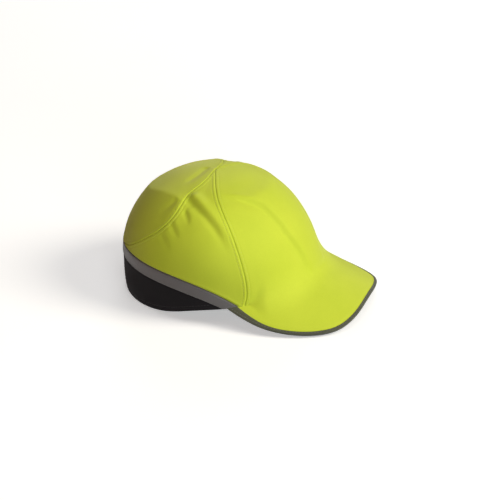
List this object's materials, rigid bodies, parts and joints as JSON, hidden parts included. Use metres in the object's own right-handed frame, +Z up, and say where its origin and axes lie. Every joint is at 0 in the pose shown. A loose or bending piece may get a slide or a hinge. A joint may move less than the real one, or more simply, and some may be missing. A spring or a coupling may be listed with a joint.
{
  "type": "bump cap",
  "caption": "Fabric-covered bump cap with a peak, a vented impact shell, foam pads and a hook-and-loop closing strap.",
  "frame": {"origin": "middle of the box round the cap, on the table it rests on", "axes": "-Y towards the tip of the peak, +Z up, -X towards the wearer's right"},
  "size_m": [0.1926, 0.2745, 0.1317],
  "materials": {
    "hi_vis_cloth": "fluorescent yellow woven polyester, matt",
    "stripe_cloth": "grey reflective woven tape",
    "black_cloth": "black woven polyester, matt",
    "binding_cloth": "grey binding tape",
    "lining_tape": "black seam tape",
    "peak_plastic": "flexible moulded board",
    "shell_plastic": "black moulded shell",
    "pad_foam": "dark grey foam",
    "towelling": "black towelling",
    "webbing": "black woven webbing",
    "fastener_tape": "black hook and loop tape",
    "label_cloth": "plain white label"
  },
  "bodies": {
    "cap": {"front_panel": "hi_vis_cloth", "rear_top_panel": "hi_vis_cloth", "side_panel_right": "hi_vis_cloth", "side_panel_left": "hi_vis_cloth", "reflective_stripe": "stripe_cloth", "rear_lower_panel_right": "black_cloth", "rear_lower_panel_left": "black_cloth", "peak_under_cloth": "black_cloth", "peak_binding": "binding_cloth", "arch_binding": "lining_tape", "front_seam_tape_right": "lining_tape", "front_seam_tape_left": "lining_tape", "rear_seam_tape_right": "lining_tape", "rear_seam_tape_left": "lining_tape", "peak_board": "peak_plastic", "impact_shell": "shell_plastic", "crown_pad": "pad_foam", "front_pad": "pad_foam", "rear_pad": "pad_foam", "side_pad_right": "pad_foam", "side_pad_left": "pad_foam", "sweatband": "towelling", "size_label": "label_cloth", "loop_strap": "webbing", "strap_sleeve": "lining_tape", "loop_patch": "fastener_tape"},
    "hook_strap": {"hook_strap": "webbing"},
    "strap_tab": {"strap_tab": "webbing", "hook_patch": "fastener_tape"}
  },
  "joints": [
    {"name": "strap_slide", "type": "hinge", "parent": "cap", "child": "hook_strap", "pos_m": [0, 0.0489, 0.016], "axis": [0, 0, -1], "range_deg": [-5.4, 5.4]},
    {"name": "tab_peel", "type": "hinge", "parent": "hook_strap", "child": "strap_tab", "pos_m": [-0.008, 0.13252, 0.016], "axis": [0, 0, 1], "range_deg": [0, 120]}
  ]
}
